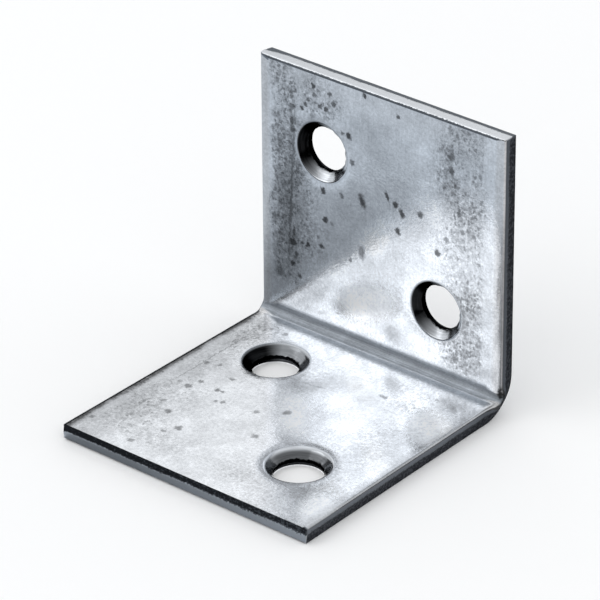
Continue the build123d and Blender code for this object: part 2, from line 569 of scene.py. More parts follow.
@dataclass
class FlatBlank:
    """Gathers the strip's mesh in patches, each with its zone and what its points carry to the finishes.

    They carry how far they lie past the start of the torn steel, how stained they are, or on a hole's wall
    how much painted shade it has, or how closely the stains lie there, with painted shade as crowded stains
    along the lying leg's left rim, how much brighter the skin is, partly as painted light, and how much it is
    blurred.
    """

    strip: Strip
    points: list[Array] = field(default_factory=list)
    quads: list[Array] = field(default_factory=list)
    zones: list[Array] = field(default_factory=list)
    carried: dict[str, list[Array]] = field(default_factory=dict)
    count: int = 0

    def add(
        self, rows: Array, zone: Zone, tear: Array | None = None, stain_and_shade: Array | None = None,
        closed: bool = False, turned: bool = False,
    ) -> None:
        """Adds a patch of quads.

        Args:
            rows: Points in rows and columns, as an array of rows by columns by 3.
            zone: The kind of surface.
            tear: How far each point lies past the start of the torn steel.
            stain_and_shade: How much each point is stained, or on a hole's wall how much painted shade it
                has, or how closely the stains lie there.
            closed: Whether each row's end joins its start.
            turned: Whether the quads are turned over, to face outwards.
        """
        high, wide = rows.shape[:2]
        index = np.arange(high * wide).reshape(high, wide) + self.count
        following = np.roll(index, -1, axis=1) if closed else index[:, 1:]
        here = index if closed else index[:, :-1]
        quads = np.stack([here[:-1], following[:-1], following[1:], here[1:]], axis=-1).reshape(-1, 4)
        self.points.append(rows.reshape(-1, 3))
        self.quads.append(quads[:, ::-1] if turned else quads)
        self.zones.append(np.full(len(quads), zone.value))
        # The dulled patches also brighten the skin through the lift, as painted light where the holes' mirror
        # images fall
        dull = np.max([patch.weight(rows[..., 0], rows[..., 1]) for patch in DULLED_AND_PAINTED_LIGHT], axis=0)
        values = {
            "tear": np.full((high, wide), -1.0) if tear is None else tear,
            "stain_and_shade": self.crowding(rows) if stain_and_shade is None else stain_and_shade,
            "lift": dull + np.sum([patch.weight(rows[..., 0], rows[..., 1]) for patch in CLOUDS], axis=0),
            "dull": dull,
        }
        for name, value in values.items():
            self.carried.setdefault(name, []).append(value.reshape(-1))
        self.count += high * wide

    def face(self, inner: bool) -> None:
        """Adds one face of the strip, with a round gap for each hole.

        Args:
            inner: Whether it is the face inside the fold.
        """
        strip = self.strip
        height = strip.sheet if inner else 0.0
        xs, ys = strip.lines()
        keep = np.ones((len(ys) - 1, len(xs) - 1), bool)
        for hole in strip.holes:
            mid_x, mid_y = (xs[1:] + xs[:-1]) / 2, (ys[1:] + ys[:-1]) / 2
            covered = (np.abs(mid_y - hole.y) < strip.patch)[:, None] & (np.abs(mid_x - hole.x) < strip.patch)
            keep &= ~covered
            around = self.patch_outline(hole)
            circle = hole.ring(around, hole.mouth if inner else hole.exit)
            # Rings from the hole out to its square, closer together at the hole
            share = np.linspace(0, 1, 11)[:, None, None] ** 1.3
            ring = circle[None] * (1 - share) + around[None] * share + [hole.x, hole.y]
            rows = np.concatenate([ring, np.full((*ring.shape[:2], 1), height)], axis=2)
            self.add(self.sunk(rows) if inner else rows, Zone.FACE, closed=True, turned=inner)
        grid_x, grid_y = np.meshgrid(xs, ys)
        flat_x, flat_y = strip.fit(grid_x.ravel(), grid_y.ravel(), height)
        rows = np.stack([flat_x, flat_y, np.full_like(flat_x, height)], axis=1).reshape(len(ys), len(xs), 3)
        self.add(self.sunk(rows) if inner else rows, Zone.FACE, turned=not inner)
        self.quads[-1] = self.quads[-1][keep.ravel()]
        self.zones[-1] = self.zones[-1][keep.ravel()]

    def patch_outline(self, hole: Hole) -> Array:
        """The mesh points round a hole's square patch, from its centre, going round once."""
        pairs = zip(self.strip.lines(), (hole.x, hole.y))
        return round_once(*(lines[np.abs(lines - at) < self.strip.patch + 1e-6] - at for lines, at in pairs))

    def sunk(self, rows: Array) -> Array:
        """Draws the inner face down a little round each punched mouth.

        Args:
            rows: The face's points.

        Returns:
            The points, drawn down.
        """
        strip = self.strip
        rows = rows.copy()
        for hole in strip.holes:
            past = np.hypot(rows[..., 0] - hole.x - hole.astray, rows[..., 1] - hole.y) - hole.mouth
            share = np.clip(1 - past / strip.sink_reach, 0, 1) * (past > -1e-6)
            rows[..., 2] -= strip.mouth_sink * share**2
        return rows

    def crowding(self, rows: Array) -> Array:
        """How closely the stains lie: in a band near each side edge, in drifts, in the chosen patches, and
        along the lying leg's left rim, where the crowding is painted shade.

        Args:
            rows: Points on the strip.

        Returns:
            A share for each, a little over 1 where they lie closest.
        """
        x, y = rows[..., 0], rows[..., 1]
        near, mid, far, wide = (
            lattice_noise(rows[..., :2].reshape(-1, 2) / size, seed).reshape(x.shape)
            for size, seed in ((4.6, 31), (1.7, 32), (3.1, 33), (1.1, 34))
        )
        # Near and mid make the drifts; far and wide make the bands' borders swerve, in millimetres
        drift = 0.55 * near + 0.45 * mid
        swerve = 2.4 * far + 1.6 * wide - 2.0
        standing = soft_step((y - 16) / 4)
        calm = soft_step((17.5 - y) / 2)
        # The band near each side edge is fainter on the lying leg and gone over the fold
        left = soft_step(x + swerve * 0.4 + 18.6) * soft_step((-13.0 - x + swerve) / 2.0)
        left *= (0.3 + 0.85 * standing) * (calm + soft_step((y - 24) / 3) * (1 - calm))
        right = soft_step((x + swerve - 8.0) / 4.0) * soft_step((17.4 - x + swerve * 0.4) / 1.2)
        right *= (0.18 + 0.5 * standing) * (calm + soft_step((y - 21.5) / 2) * (1 - calm))
        # The chosen patches lie on the inner face only, and the left rim, whose crowding is painted shade, on
        # the lying leg
        chosen = np.max([patch.weight(x + swerve * 0.5, y + swerve * 0.5) for patch in CROWDED], axis=0)
        inner = soft_step(rows[..., 2] - 1.2)
        rim = 0.9 * soft_step((-18.8 - x + 0.3 * swerve) / 0.8) * (1 - standing)
        bands = np.maximum(left, right) * (0.3 + 1.2 * drift)
        return np.clip(bands + chosen * inner * (0.4 + 0.9 * drift) + rim, 0, 1.15)

    def edge(self) -> None:
        """Adds the sheared edge all round the strip, from the inner face down to the outer one."""
        strip = self.strip
        xs, ys = strip.lines()
        outline = round_once(xs, ys)
        on_side = np.abs(outline[:, 0]) == xs[-1]
        at_low, at_high = (outline[:, 1] == end for end in (ys[0], ys[-1]))
        on_end = at_low | at_high
        rows, tears = [], []
        heights = strip.heights()
        for height in heights:
            x, y = strip.fit(outline[:, 0], outline[:, 1], height)
            place = np.stack([x, y, np.full_like(x, height)], 1)
            tear = self.torn(outline, height, on_end)
            rough = 0.6 * lattice_noise(place / [0.5, 0.5, 0.3], 5)
            rough += 0.4 * lattice_noise(place / [0.22, 0.22, 0.16], 6)
            cut = strip.tear_depth * rough * soft_step(tear / 0.12) * (1 if 0 < height < strip.sheet else 0)
            place[:, 0] -= np.where(on_side, np.sign(outline[:, 0]) * cut, 0)
            place[:, 1] += cut * at_low - cut * at_high
            rows.append(place)
            tears.append(tear)
        self.add(np.stack(rows), Zone.EDGE, np.stack(tears), closed=True, turned=True)
        # The zinc runs over the roll, and further down where the fold has squeezed the steel out
        roll_foot = strip.sheet - strip.side_roll(*outline.T)[1]
        coated = heights[:-1, None] > roll_foot - 0.75 * strip.at_fold(outline[:, 1]) + 1e-6
        coated &= ~on_end
        self.zones[-1][coated.ravel()] = Zone.FACE.value

    def torn(self, outline: Array, height: float, on_end: Array) -> Array:
        """How far a height lies past the smooth land at each place round the strip.

        Args:
            outline: The places.
            height: The height over the outer face.
            on_end: Which places are on the strip's two ends.

        Returns:
            The distances, below 0 on the land.
        """
        strip = self.strip
        low, high = strip.ends
        x, y = outline[:, 0], outline[:, 1]
        # The land's border wanders, and the land thins toward the corners
        wander = 0.12 * (lattice_noise(outline / 2.3, 21) - 0.5)
        wander += 0.1 * (lattice_noise(outline / 0.6, 22) - 0.5)
        from_left, from_right = strip.width / 2 + x, strip.width / 2 - x
        lying = strip.lying_land * soft_step(0.25 + from_right / 1.5)
        lying *= 0.3 + 0.7 * soft_step(from_left / 2.2)
        standing = strip.standing_land * soft_step(0.2 + from_right / 1.3)
        standing *= 0.55 + 0.45 * soft_step(from_left / 4.5)
        from_end = np.minimum(y - low, high - y)
        side = strip.side_land * (1 + 0.15 * soft_step(1 - from_end / 1.2))
        past_standing = np.maximum(strip.sheet - standing - height, 4 * (height - strip.sheet + 0.09))
        past_end = np.where(y < 0, height - lying, past_standing)
        return np.where(on_end, past_end, strip.sheet - side - height) + wander

    def hole(self, hole: Hole) -> None:
        """Adds a hole's wall: rolled mouth, cone, ragged torn lip and wider throat.

        Args:
            hole: The hole.
        """
        strip = self.strip
        around = self.patch_outline(hole)
        turn = hole.ring(around, 1.0) - [hole.astray, 0]
        jag = 0.3 * (lattice_noise(turn * 2.2 + 9, hole.seed) - 0.5)
        jag += 0.2 * (lattice_noise(turn * 7 + 40, hole.seed) - 0.5)
        # Painted shade on one side of the cone, for the dark that it reflects
        painted_shade = hole.painted_shade_around(turn)
        rubbed = hole.toward(turn, hole.clean, 42, 0.5)
        rows, tears, stains = [], [], []
        for down, reach, jagged, tear in self.profile(hole):
            places = np.concatenate([turn * 9, np.full((len(turn), 1), down * 3.0)], 1)
            cragged = lattice_noise(places, hole.seed + 7) - 0.5
            ring = hole.ring(around, reach + cragged * (0.08 if 0 < tear < 1 else 0)) + [hole.x, hole.y]
            level = strip.sheet - down - jag * jagged - strip.mouth_sink * min(1, (strip.sheet - down) / 0.5)
            rows.append(np.concatenate([ring, level[:, None]], 1))
            tears.append(np.where(tear < 0.5, tear - rubbed, tear))
            # Painted shade: the wall is darker further down the hole, where shade falls
            deeper_shade = 0.45 * soft_step(np.array(down - 0.5) / 0.5)
            stains.append(np.maximum(painted_shade * soft_step(down / hole.painted_shade_depth), deeper_shade))
        self.add(np.stack(rows), Zone.HOLE, np.stack(tears), np.stack(stains), closed=True)

    def profile(self, hole: Hole) -> list[tuple[float, float, float, float]]:
        """A hole's rings, from its mouth down.

        Args:
            hole: The hole.

        Returns:
            Each ring's depth, its radius, its share of the lip's raggedness, and its place past the cone.
        """
        strip = self.strip
        swell, below = strip.lip_swell, strip.lip_depth + strip.lip_back
        rings = []
        for angle in np.linspace(0, strip.cone_turn, 7):
            down = hole.roll * (1 - math.cos(angle))
            rings.append((down, hole.mouth - hole.roll * math.sin(angle), 0.0, -1.0))
        start, wide = rings[-1][:2]
        for share in np.linspace(0, 1, 8)[1:]:
            down = start + (strip.cone_depth - start) * share
            rings.append((down, wide + (hole.lip + swell - wide) * share, share**3, share - 1))
        for share in np.linspace(0, 1, 4)[1:]:
            down = strip.cone_depth + (strip.lip_depth - strip.cone_depth) * share
            rings.append((down, hole.lip + swell * (1 - share), 1 - 0.6 * share, 0.45 * share))
        for share in np.linspace(0, 1, 6):
            reach = hole.lip + 0.07 + (hole.exit - hole.lip - 0.07) * share
            rings.append((below + (strip.sheet - below) * share, reach, 0.4 * (1 - share), 0.5 + 0.5 * share))
        return rings

    def build(self, name: str) -> Piece:
        """Makes the flat blank's object.

        Args:
            name: The object's name.

        Returns:
            The object, with a number for each face's zone and what each point carries.
        """
        self.face(inner=True)
        self.face(inner=False)
        self.edge()
        for hole in self.strip.holes:
            self.hole(hole)
        mesh = bpy.data.meshes.new(name)
        mesh.from_pydata((np.concatenate(self.points) * MM).tolist(), [], np.concatenate(self.quads).tolist())
        zones = np.concatenate(self.zones).astype(np.int32)
        mesh.attributes.new("zone", "INT", "FACE").data.foreach_set("value", zones)
        for kind, values in self.carried.items():
            values = np.concatenate(values).astype(np.float32)
            mesh.attributes.new(kind, "FLOAT", "POINT").data.foreach_set("value", values)
        blank = bpy.data.objects.new(name, mesh)
        bpy.context.scene.collection.objects.link(blank)
        LOG.info("flat blank of %d points", len(mesh.vertices))
        return blank


@dataclass
class FoldTree:
    """The Geometry Nodes tree that gives the flat blank its relief and folds it."""

    name: str = "fold_the_blank"
    tree: bpy.types.NodeTree | None = None
    keys: dict[str, str] = field(default_factory=dict)
    sizes: tuple[str, ...] = (
        "Outside radius", "Inside radius", "Sheet", "Heel", "Rise", "Ease", "Fold start", "Fold length",
        "Fold angle", "Relief height", "Relief size", "Seed",
    )
    finishes: tuple[str, ...] = ("Face finish", "Edge finish", "Hole finish")

    def socket(self, name: str, kind: str, into: str = "INPUT") -> None:
        """Adds a named input or output to the tree."""
        made = self.tree.interface.new_socket(name=name, in_out=into, socket_type=f"NodeSocket{kind}")
        self.keys[name] = made.identifier

    def build(self) -> FoldTree:
        """Builds the tree.

        Returns:
            This object, with its tree.
        """
        self.tree = bpy.data.node_groups.new(self.name, "GeometryNodeTree")
        add = partial(add_node, self.tree)
        self.socket("Blank", "Geometry")
        for name in self.sizes:
            self.socket(name, "Float")
        for name in self.finishes:
            self.socket(name, "Material")
        self.socket("Bracket", "Geometry", "OUTPUT")
        given = add("NodeGroupInput").outputs
        made = add("GeometryNodeMergeByDistance", {"Geometry": given["Blank"], "Distance": 2e-7})
        place = add("GeometryNodeInputPosition")
        made = add(
            "GeometryNodeStoreNamedAttribute", {"Geometry": made, "Name": "strip_place", "Value": place},
            data_type="FLOAT_VECTOR", domain="POINT",
        )
        finer = add("Math.DIVIDE", (1.0, given["Relief size"]))
        swell = {"Vector": place, "W": given["Seed"], "Scale": finer, "Detail": 3.0, "Roughness": 0.55}
        swell = add("TexNoise", swell, noise_dimensions="4D")
        inward = add("Math.MULTIPLY", (swell, given["Relief height"]), use_clamp=True)
        inward = add("Math.MULTIPLY", (inward, -1.0))
        offset = add("VectorMath.SCALE", {0: add("GeometryNodeInputNormal"), "Scale": inward})
        made = add("GeometryNodeSetPosition", {"Geometry": made, "Offset": offset})
        made = add("GeometryNodeSetPosition", {"Geometry": made, "Position": self.folded_place(add, given)})
        made = add("GeometryNodeSetShadeSmooth", {"Geometry": made})
        made = add("GeometryNodeRealizeInstances", {"Geometry": made})
        zone = add("GeometryNodeInputNamedAttribute", {"Name": "zone"}, data_type="INT")
        for kind, finish in zip(Zone, self.finishes):
            same = {"A": zone, "B": kind.value}
            chosen = add("FunctionNodeCompare", same, data_type="INT", operation="EQUAL")
            dressed = {"Geometry": made, "Selection": chosen, "Material": given[finish]}
            made = add("GeometryNodeSetMaterial", dressed)
        add("NodeGroupOutput", {"Bracket": made})
        return self

    def folded_place(self, add: Adder, given: Sockets) -> Node:
        """Adds the nodes that turn what lies past the fold's start about the fold's axis.

        Args:
            add: Adds a node to the tree.
            given: The tree's inputs.

        Returns:
            The node whose output is the folded place.
        """
        x, y, z = add("SeparateXYZ", (add("GeometryNodeInputPosition"),)).outputs
        start, sheet, ease = given["Fold start"], given["Sheet"], given["Ease"]
        past = add("Math.SUBTRACT", (y, start))
        share = add("Math.DIVIDE", (past, given["Fold length"]), use_clamp=True)
        turn = add("Math.MULTIPLY", (share, given["Fold angle"]))
        sine, cosine = (add("Math", (turn,), operation=kind) for kind in ("SINE", "COSINE"))
        radius = add("MapRange", (z, 0.0, sheet, given["Outside radius"], given["Inside radius"]))
        axis_up = add("Math.ADD", (z, radius))
        # Before the fold the places are eased to where the arc starts at their height
        axis_along = add("Math.SUBTRACT", (given["Heel"], axis_up))
        eased_from = add("Math.SUBTRACT", (start, ease))
        shift = add("Math.SUBTRACT", (axis_along, start))
        shift = add("MapRange.SMOOTHSTEP", (y, eased_from, start, 0.0, shift))
        before = add("Math.MINIMUM", (y, start))
        along = add("Math.ADD", (before, shift))
        along = add("Math.MULTIPLY_ADD", (radius, sine, along))
        # Past it they are eased from where the arc ends to the rise of the leg
        fold_end = add("Math.ADD", (start, given["Fold length"]))
        eased_to = add("Math.ADD", (fold_end, ease))
        beyond = add("Math.SUBTRACT", (y, fold_end))
        beyond = add("Math.MAXIMUM", (beyond, 0.0))
        drop = add("Math.SUBTRACT", (fold_end, given["Rise"]))
        drop = add("Math.SUBTRACT", (axis_up, drop))
        drop = add("MapRange.SMOOTHSTEP", (y, fold_end, eased_to, 0.0, drop))
        up = add("Math.MULTIPLY", (radius, cosine))
        up = add("Math.SUBTRACT", (axis_up, up))
        up = add("Math.ADD", (up, beyond))
        up = add("Math.SUBTRACT", (up, drop))
        return add("CombineXYZ", (x, along, up))

    def apply(self, blank: Piece, values: dict[str, object]) -> None:
        """Runs the tree on the blank and keeps the result as a plain mesh.

        Args:
            blank: The flat blank, which becomes the folded bracket.
            values: The value of each of the tree's named inputs.
        """
        modifier = blank.modifiers.new("fold", "NODES")
        modifier.node_group = self.tree
        for name, value in values.items():
            modifier[self.keys[name]] = value
        graph = bpy.context.evaluated_depsgraph_get()
        mesh = bpy.data.meshes.new_from_object(
            blank.evaluated_get(graph), preserve_all_data_layers=True, depsgraph=graph
        )
        blank.modifiers.remove(modifier)
        blank.data = mesh
        mesh.set_sharp_from_angle(angle=math.radians(50))


# Bands of the zinc face: each one's axis, where it starts and where it is full, and how strong it is. The
# left and right bands are painted shade on the rolled rims
BANDS = {
    "lying": ("Y", 17, 15, 1.0),
    "low": ("Y", 47, 40, 1.0),
    "top": ("Y", 52, 56, 0.4),
    "left_rim_shade": ("X", -18.4, -20, 0.4),
    "left_veil_shade": ("X", -12.5, -17.5, 0.27),
    "left_line_shade": ("X", -19.0, -19.8, 0.45),
    "right_roll_shade": ("X", 18.4, 20, 0.36),
    "right_rim_shade": ("X", 18.2, 19.8, 0.45),
}


@dataclass(frozen=True)
class ZincFace:
    """Hot-dipped zinc on rolled sheet steel: a bright metal skin, clouded and stained where the bath ran off.

    The eye sees soft mirror images with a grainy rim, dark stains a fraction of a millimetre to a millimetre
    wide that crowd in bands near the side edges, fine scuffs along the strip and a darker, rougher fold.
    Painted shade darkens the rolled rims, and painted light brightens the zinc where the holes' mirror images
    fall. Sizes are in millimetres. The zinc's own finest grain is drawn coarser than it is, so that it shows.
    """

    bright: str = "E4E7EB"
    warm: str = "DADADB"
    fold: str = "AAB0B7"
    stain_and_shade: float = 0.15
    roughness: float = 0.13
    stained_rougher: float = 0.2
    bent_rougher: float = 0.46
    dulled_rougher: float = 0.28
    lift_gain: float = 0.36
    cloud_size: float = 3.6
    stain_size: float = 1.15
    haze_size: float = 0.8
    wander_size: float = 0.5
    wander: float = 1.0
    fleck_size: float = 0.42
    peel_size: float = 0.34
    grain_size: float = 0.15
    scratch_size: float = 0.16
    bump_depth: float = 0.012
    fold_middle: float = 19.8

    def build(self) -> Material:
        """Makes the material.

        Returns:
            The material.
        """
        material, add = new_material("zinc_coated_sheet_steel")
        place = add("Attribute", attribute_name="strip_place").outputs["Vector"]
        crowd, lift, dull = (
            add("Attribute", attribute_name=name).outputs["Fac"] for name in ("stain_and_shade", "lift", "dull")
        )
        axes = add("SeparateXYZ", (place,)).outputs
        ragged = self.ragged(add, place)
        dark = self.stains(add, place, ragged, crowd)
        # Single stains, and one painted shade beside the bulge at the fold's right end
        for spot in SPOTS:
            dark = add("Math.MAXIMUM", (dark, self.spot(add, ragged, spot)))
        bent = self.bent(add, axes)
        grain = add("TexNoise", {"Vector": place, "Scale": per_metre(self.grain_size), "Detail": 2.0})
        # The lift brightens or darkens the skin: painted light where the holes' mirror images fall, clouds
        # elsewhere
        lifted = add("Math.MULTIPLY_ADD", (lift, self.lift_gain, 1.0))
        kept = add("MapRange", (dark, 0.0, 1.0, 1.0, self.stain_and_shade))
        colour = self.skin(add, place, axes, bent, grain, crowd)
        for share in (lifted, kept):
            colour = add("VectorMath.SCALE", {0: colour, "Scale": share})
        rough = self.roughness
        gains = (self.stained_rougher, self.bent_rougher, self.dulled_rougher)
        for cause, gain in zip((dark, bent, dull), gains):
            rough = add("Math.MULTIPLY_ADD", (cause, gain, rough))
        peel = {"Vector": place, "Scale": per_metre(self.peel_size), "Detail": 2.0, "Roughness": 0.6}
        relief = add("Math.MULTIPLY_ADD", (grain, 0.2, add("TexNoise", peel)))
        bump = add("Bump", {"Height": relief, "Strength": 1.0, "Distance": self.bump_depth * MM})
        feeds = {"Base Color": colour, "Metallic": 1.0, "Roughness": rough, "Normal": bump}
        add("OutputMaterial", {"Surface": add("BsdfPrincipled", feeds)})
        return material

    def ragged(self, add: Adder, place: Socket) -> Node:
        """Adds the place shifted a little at random, so that the stains' rims are ragged.

        Args:
            add: Adds a node to the tree.
            place: The place in the flat strip.

        Returns:
            The node with the shifted place.
        """
        noise = add("TexNoise", {"Vector": place, "Scale": per_metre(self.wander_size), "Detail": 3.0})
        shift = add("VectorMath.SUBTRACT", (noise.outputs["Color"], (0.5, 0.5, 0.5)))
        most = (self.wander * MM, self.wander * MM, 0.0)
        return add("VectorMath.MULTIPLY_ADD", (shift, most, place))

    def stains(self, add: Adder, place: Socket, ragged: Node, crowd: Socket) -> Node:
        """Adds the nodes that say how dark the scattered stains, specks and haze make each place.

        Args:
            add: Adds a node to the tree.
            place: The place in the flat strip.
            ragged: The same, shifted a little at random.
            crowd: How closely the stains lie.

        Returns:
            The node with the darkness.
        """
        blot = {"Vector": ragged, "Scale": per_metre(self.stain_size), "Detail": 5.0, "Roughness": 0.62}
        least = add("MapRange", (crowd, 0.0, 1.0, 0.74, 0.5), clamp=False)
        over = add("Math.SUBTRACT", (add("TexNoise", blot), least))
        dark = add("MapRange.SMOOTHSTEP", (over, 0.0, 0.16, 0.0, 0.55))
        depth = add("MapRange", (crowd, 0.0, 1.0, 0.34, 0.68))
        # Two sizes of speck: how common each is where stains are few and where they crowd, and its reach
        for size, rare, common, widest in ((0.95, 0.05, 0.75, 0.36), (0.55, 0.12, 0.7, 0.4)):
            cells = {"Vector": ragged, "Scale": per_metre(size)}
            cells = add("TexVoronoi", cells, voronoi_dimensions="2D").outputs
            chance = add("SeparateColor", (cells["Color"],)).outputs["Red"]
            share = add("MapRange", (crowd, 0.0, 1.0, rare, common))
            chance = add("Math.SUBTRACT", (share, chance))
            reach = add("MapRange", (chance, 0.0, 0.35, -0.1, widest), clamp=False)
            reach = add("Math.MINIMUM", (reach, widest))
            over = add("Math.SUBTRACT", (reach, cells["Distance"]))
            speck = add("MapRange.SMOOTHSTEP", (over, -0.1, 0.24, 0.0, depth))
            dark = add("Math.MAXIMUM", (dark, speck))
        haze = {"Vector": place, "Scale": per_metre(self.haze_size), "Detail": 4.0, "Roughness": 0.7}
        haze = add("MapRange", (add("TexNoise", haze), 0.42, 0.6, 0.0, 0.45))
        haze = add("Math.MULTIPLY", (haze, crowd))
        both = add("Math.MULTIPLY_ADD", (dark, haze, haze))
        return add("Math.MAXIMUM", (dark, both))

    def spot(self, add: Adder, ragged: Node, spot: Patch) -> Node:
        """Adds one of the single stains on the inner face, or the painted shade beside the fold's right
        bulge, plainly round where it is nearly so.

        Args:
            add: Adds a node to the tree.
            ragged: The place in the flat strip, shifted a little at random.
            spot: The stain.

        Returns:
            The node with its darkness.
        """
        centre = (spot.x * MM, spot.y * MM, Strip.sheet * MM)
        if max(spot.wide, spot.long) < 1.45 * min(spot.wide, spot.long):
            away = add("VectorMath.DISTANCE", (ragged, centre))
            half = (spot.wide + spot.long) / 4 * MM
        else:
            turn = (0.0, 0.0, math.radians(spot.turn))
            size = (spot.wide * MM / 2, spot.long * MM / 2, MM)
            away = add("Mapping", (ragged, centre, turn, size), vector_type="TEXTURE")
            away = add("VectorMath.LENGTH", (away,))
            half = 1.0
        return add("MapRange.SMOOTHSTEP", (away, 1.4 * half, 0.5 * half, 0.0, spot.amount))

    def skin(
        self, add: Adder, place: Socket, axes: Sockets, bent: Node, grain: Node, crowd: Socket
    ) -> Node:
        """Adds the unstained skin's colour, with clouds, fine grain, scuffs, painted shade on the rims and at
        the foot of the edge's roll, and a warmer top.

        Args:
            add: Adds a node to the tree.
            place: The place in the flat strip.
            axes: Its three coordinates.
            bent: How far the fold's darker colour and higher roughness reach.
            grain: The finest noise.
            crowd: How closely the stains lie.

        Returns:
            The node with the colour.
        """
        band = {
            name: add("MapRange", (axes[axis], start * MM, full * MM, 0.0, most))
            for name, (axis, start, full, most) in BANDS.items()
        }
        lying = band["lying"]
        cloud = {"Vector": place, "Scale": per_metre(self.cloud_size), "Detail": 4.0, "Roughness": 0.65}
        cloud = add("TexNoise", cloud)
        fleck = add("TexNoise", {"Vector": place, "Scale": per_metre(self.fleck_size), "Detail": 3.0})
        fleck = add("Math.ADD", (fleck, grain))
        fleck = add("Math.SUBTRACT", (fleck, 1.0))
        deep = add("MapRange", (crowd, 0.0, 0.6, 0.55, 1.1))
        fleck = add("Math.MULTIPLY_ADD", (fleck, deep, 0.97))
        scuff = self.streaks(add, place, self.scratch_size, 7.0, self.scratch_size)
        worn = add("MapRange", (scuff, 0.3, 0.7, 0.95, 1.04))
        veil = add("Math.MULTIPLY_ADD", (crowd, -0.12, 1.0))
        # Painted shade on the rims of the lying leg, and on the standing one's right roll below its top
        uneven = add("MapRange", (cloud, 0.35, 0.65, 0.0, 2.0))
        streak = add("MapRange", (scuff, 0.35, 0.62, 0.25, 1.5))
        left = add("Math.MULTIPLY_ADD", (band["left_rim_shade"], uneven, band["left_veil_shade"]))
        left = add("Math.MULTIPLY_ADD", (band["left_line_shade"], streak, left))
        left = add("Math.MINIMUM", (left, 0.85))
        left = add("Math.MULTIPLY", (left, lying))
        low = add("Math.SUBTRACT", (band["low"], lying), use_clamp=True)
        right = add("Math.MULTIPLY", (band["right_rim_shade"], lying))
        right = add("Math.MULTIPLY_ADD", (band["right_roll_shade"], low, right))
        left, right = (add("Math.SUBTRACT", (1.0, rim)) for rim in (left, right))
        # Painted shade: the edge's roll is darker at its foot; the outer face has none
        roll = add("MapRange", (axes["Z"], 1.9 * MM, 2.0 * MM, 0.3, 1.0))
        outer = add("Math.LESS_THAN", (axes["Z"], 1.0 * MM))
        roll = add("Math.MAXIMUM", (roll, outer))
        tone = add("MapRange", (cloud, 0.3, 0.7, 0.82, 1.1))
        for factor in (fleck, worn, veil, left, right, roll):
            tone = add("Math.MULTIPLY", (tone, factor))
        across = add("Math.ABSOLUTE", (axes["X"],))
        side = add("MapRange", (across, 18.2 * MM, 18.9 * MM, 0.0, 1.0))
        side = add("Math.SUBTRACT", (side, lying), use_clamp=True)
        warm = add("Math.MAXIMUM", (band["top"], side))
        skin = add("Mix.RGBA", {0: warm, 6: linear(self.bright), 7: linear(self.warm)})
        lines = self.streaks(add, place, 9.0, self.scratch_size, 0.5)
        lines = add("MapRange", (lines, 0.35, 0.65, 0.8, 1.15))
        fold = add("VectorMath.SCALE", {0: linear(self.fold)[:3], "Scale": lines})
        skin = add("Mix.RGBA", {0: bent, 6: skin, 7: fold})
        return add("VectorMath.SCALE", {0: skin, "Scale": tone})

    def streaks(self, add: Adder, place: Socket, *sizes: float) -> Node:
        """Adds a noise that is drawn out, by its size along each axis."""
        drawn = add("Mapping", {"Vector": place, "Scale": tuple(per_metre(size) for size in sizes)})
        return add("TexNoise", {"Vector": drawn, "Scale": 1.0, "Detail": 2.0})

    def bent(self, add: Adder, axes: Sockets) -> Node:
        """Adds the nodes that say how far the fold is darker and rougher, less so at the fold's ends.

        Args:
            add: Adds a node to the tree.
            axes: The three coordinates of the place in the flat strip.

        Returns:
            The node with the share.
        """
        off = add("Math.SUBTRACT", (axes["Y"], self.fold_middle * MM))
        off = add("Math.ABSOLUTE", (off,))
        across = add("Math.ABSOLUTE", (axes["X"],))
        ended = add("MapRange", (across, 17.4 * MM, 19.5 * MM, 0.0, 1.1 * MM))
        off = add("Math.ADD", (off, ended))
        return add("MapRange.SMOOTHSTEP", (off, 2.6 * MM, 1.7 * MM, 0.0, 1.0))


